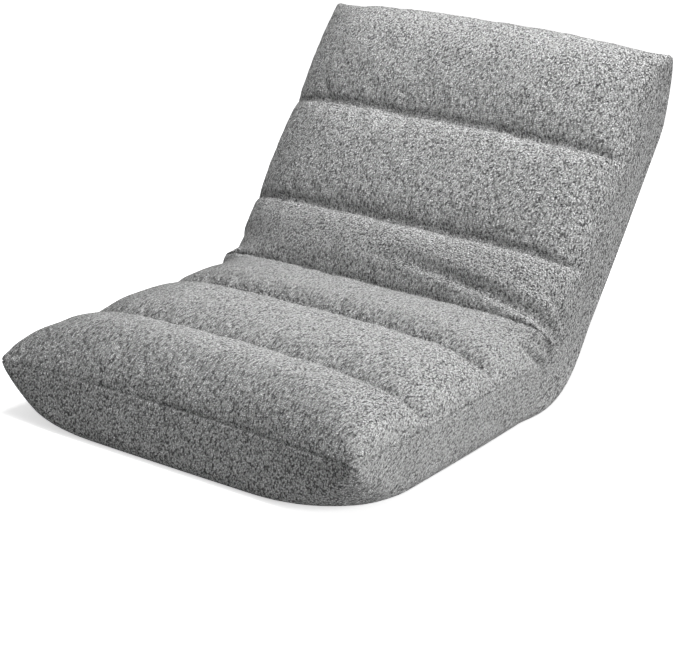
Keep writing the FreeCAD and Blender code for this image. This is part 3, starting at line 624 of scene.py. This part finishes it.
def fleece_material():
    """Grey nubby fleece: curled tufts a few millimetres across, with fine fuzz between them, painted shade
    in the gaps between tufts and painted light on one side of each.
    """
    material, parts, links = linked_nodes("grey_nubby_fleece")
    shader = parts["Principled BSDF"]
    shader.inputs["Roughness"].default_value = 0.95
    shader.inputs["Sheen Weight"].default_value = 0.35
    shader.inputs["Sheen Roughness"].default_value = 0.5
    shader.inputs["Specular IOR Level"].default_value = 0.15
    place = parts.new("ShaderNodeAttribute")
    place.attribute_name = "flat_place"
    warp = parts.new("ShaderNodeTexNoise")
    warp.inputs["Scale"].default_value = 220
    warp.inputs["Detail"].default_value = 2
    links.new(place.outputs["Vector"], warp.inputs["Vector"])
    bent = parts.new("ShaderNodeVectorMath")
    bent.operation = "MULTIPLY_ADD"
    bent.inputs[1].default_value = (0.003, 0.003, 0.003)
    links.new(warp.outputs["Color"], bent.inputs[0])
    links.new(place.outputs["Vector"], bent.inputs[2])

    def tuft_pattern(vector):
        pattern = parts.new("ShaderNodeTexVoronoi")
        pattern.feature = "SMOOTH_F1"
        pattern.inputs["Scale"].default_value = 420
        pattern.inputs["Smoothness"].default_value = 0.2
        links.new(vector, pattern.inputs["Vector"])
        return pattern

    tufts = tuft_pattern(bent.outputs["Vector"])
    # painted light and shade: a second tuft pattern, shifted a little to the front and up, is taken from
    # the first, so that each tuft gets a painted pale back and painted shade on the ground before it
    painted_light_offset = parts.new("ShaderNodeVectorMath")
    painted_light_offset.inputs[1].default_value = (0.0003, 0.0009, 0.0006)
    links.new(bent.outputs["Vector"], painted_light_offset.inputs[0])
    painted_light_tufts = tuft_pattern(painted_light_offset.outputs["Vector"])
    painted_light_side = parts.new("ShaderNodeMath")
    painted_light_side.operation = "SUBTRACT"
    links.new(tufts.outputs["Distance"], painted_light_side.inputs[0])
    links.new(painted_light_tufts.outputs["Distance"], painted_light_side.inputs[1])
    # the tuft pattern with the painted light and shade of the shift taken off it; it sets the colour below
    depth = parts.new("ShaderNodeMath")
    depth.operation = "MULTIPLY_ADD"
    depth.inputs[1].default_value = -1.0
    links.new(painted_light_side.outputs["Value"], depth.inputs[0])
    links.new(tufts.outputs["Distance"], depth.inputs[2])
    fuzz = parts.new("ShaderNodeTexNoise")
    fuzz.inputs["Scale"].default_value = 650
    fuzz.inputs["Detail"].default_value = 4
    links.new(place.outputs["Vector"], fuzz.inputs["Vector"])
    # painted shade: the colour runs from near white at the middle of each tuft to near black in the gaps
    # between tufts, where shade falls
    painted_tuft_shade = parts.new("ShaderNodeValToRGB")
    painted_tuft_shade.color_ramp.elements[0].position = 0.20
    painted_tuft_shade.color_ramp.elements[0].color = (0.98, 0.98, 0.98, 1)
    painted_tuft_shade.color_ramp.elements[1].position = 0.74
    painted_tuft_shade.color_ramp.elements[1].color = (0.04, 0.04, 0.04, 1)
    links.new(depth.outputs["Value"], painted_tuft_shade.inputs["Fac"])
    patches = parts.new("ShaderNodeTexNoise")
    patches.inputs["Scale"].default_value = 9
    links.new(place.outputs["Vector"], patches.inputs["Vector"])
    tone = parts.new("ShaderNodeMapRange")
    tone.inputs["To Min"].default_value = 0.88
    tone.inputs["To Max"].default_value = 1.10
    links.new(patches.outputs["Fac"], tone.inputs["Value"])
    colour = parts.new("ShaderNodeMix")
    colour.data_type = "RGBA"
    colour.blend_type = "MULTIPLY"
    colour.inputs["Factor"].default_value = 1
    links.new(painted_tuft_shade.outputs["Color"], colour.inputs["A"])
    links.new(tone.outputs["Result"], colour.inputs["B"])
    links.new(colour.outputs["Result"], shader.inputs["Base Color"])
    pile = parts.new("ShaderNodeMath")
    pile.operation = "MULTIPLY_ADD"
    pile.inputs[1].default_value = 0.4
    links.new(fuzz.outputs["Fac"], pile.inputs[0])
    rounded = parts.new("ShaderNodeMath")
    rounded.operation = "POWER"
    rounded.inputs[1].default_value = 1.2
    links.new(tufts.outputs["Distance"], rounded.inputs[0])
    rise = parts.new("ShaderNodeMath")
    rise.operation = "SUBTRACT"
    rise.inputs[0].default_value = 1
    links.new(rounded.outputs["Value"], rise.inputs[1])
    links.new(rise.outputs["Value"], pile.inputs[2])
    bump = parts.new("ShaderNodeBump")
    bump.inputs["Strength"].default_value = 1.0
    bump.inputs["Distance"].default_value = 0.008
    links.new(pile.outputs["Value"], bump.inputs["Height"])
    links.new(bump.outputs["Normal"], shader.inputs["Normal"])
    return material


cushion_mesh.materials.append(fleece_material())
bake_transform(cushion)
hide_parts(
    "seat_top_cover", "rear_channel_cover", "lumbar_channel_cover", "back_top_cover",
    "seat_base_cover", "fold_base_cover", "back_base_cover",
    "seat_pad_front", "seat_pad_middle", "seat_pad_rear",
    "back_pad_lumbar", "back_pad_upper", "back_pad_head",
    "seat_base_foam", "fold_base_foam", "back_base_foam",
)


# Floor and light: a plain white floor and background, an even studio dome, a soft lamp overhead and
# a weaker one beside the chair, which leave the front edge of the seat in shade.
floor_reach = 8
floor_level = -0.0005
floor_mesh = bpy.data.meshes.new("floor")
floor_mesh.from_pydata(
    [(-floor_reach, -floor_reach, floor_level), (floor_reach, -floor_reach, floor_level),
     (floor_reach, floor_reach, floor_level), (-floor_reach, floor_reach, floor_level)],
    [], [(0, 1, 2, 3)],
)
floor = bpy.data.objects.new("floor", floor_mesh)
bpy.context.scene.collection.objects.link(floor)


def seen_directly(parts, links):
    """1 where the camera, a reflection or glass shows the surface, and 0 for the light it gives off."""
    rays = parts.new("ShaderNodeLightPath")
    total = rays.outputs["Is Camera Ray"]
    for kind in ("Is Glossy Ray", "Is Transmission Ray"):
        either = parts.new("ShaderNodeMath")
        either.operation = "MAXIMUM"
        links.new(total, either.inputs[0])
        links.new(rays.outputs[kind], either.inputs[1])
        total = either.outputs["Value"]
    return total


floor_finish, parts, links = linked_nodes("white_floor")
floor_shader = parts["Principled BSDF"]
floor_colour = parts.new("ShaderNodeMix")
floor_colour.data_type = "RGBA"
floor_colour.inputs["A"].default_value = (0.30, 0.30, 0.30, 1)
floor_colour.inputs["B"].default_value = (0.97, 0.97, 0.97, 1)
floor_seen = seen_directly(parts, links)
links.new(floor_seen, floor_colour.inputs["Factor"])
floor_glow = parts.new("ShaderNodeMapRange")
floor_glow.inputs["To Max"].default_value = 0.60
links.new(floor_seen, floor_glow.inputs["Value"])
links.new(floor_glow.outputs["Result"], floor_shader.inputs["Emission Strength"])
floor_shader.inputs["Emission Color"].default_value = (1, 1, 1, 1)
links.new(floor_colour.outputs["Result"], floor_shader.inputs["Base Color"])
floor_shader.inputs["Roughness"].default_value = 1
floor_shader.inputs["Specular IOR Level"].default_value = 0
floor_mesh.materials.append(floor_finish)

bpy.context.scene.view_settings.view_transform = "Standard"
world = bpy.data.worlds.new("studio")
bpy.context.scene.world = world
world.use_nodes = True
dome = world.node_tree.nodes["Background"]
dome.inputs["Color"].default_value = (1, 1, 1, 1)
dome_level = world.node_tree.nodes.new("ShaderNodeMapRange")
dome_level.inputs["To Min"].default_value = 0.28
dome_level.inputs["To Max"].default_value = 1
dome_seen = seen_directly(world.node_tree.nodes, world.node_tree.links)
world.node_tree.links.new(dome_seen, dome_level.inputs["Value"])
world.node_tree.links.new(dome_level.outputs["Result"], dome.inputs["Strength"])

overhead = bpy.data.lights.new("overhead_lamp", "AREA")
overhead.size = 0.7
overhead.energy = 18.8
overhead_object = bpy.data.objects.new("overhead_lamp", overhead)
overhead_object.location = (0.15, 0.0, 1.35)
bpy.context.scene.collection.objects.link(overhead_object)

beside = bpy.data.lights.new("side_lamp", "SUN")
beside.energy = 2.8
beside.angle = math.radians(30)
beside_object = bpy.data.objects.new("side_lamp", beside)
beside_object.rotation_euler = Vector((1.0, -0.02, 0.35)).to_track_quat("Z", "Y").to_euler()
bpy.context.scene.collection.objects.link(beside_object)
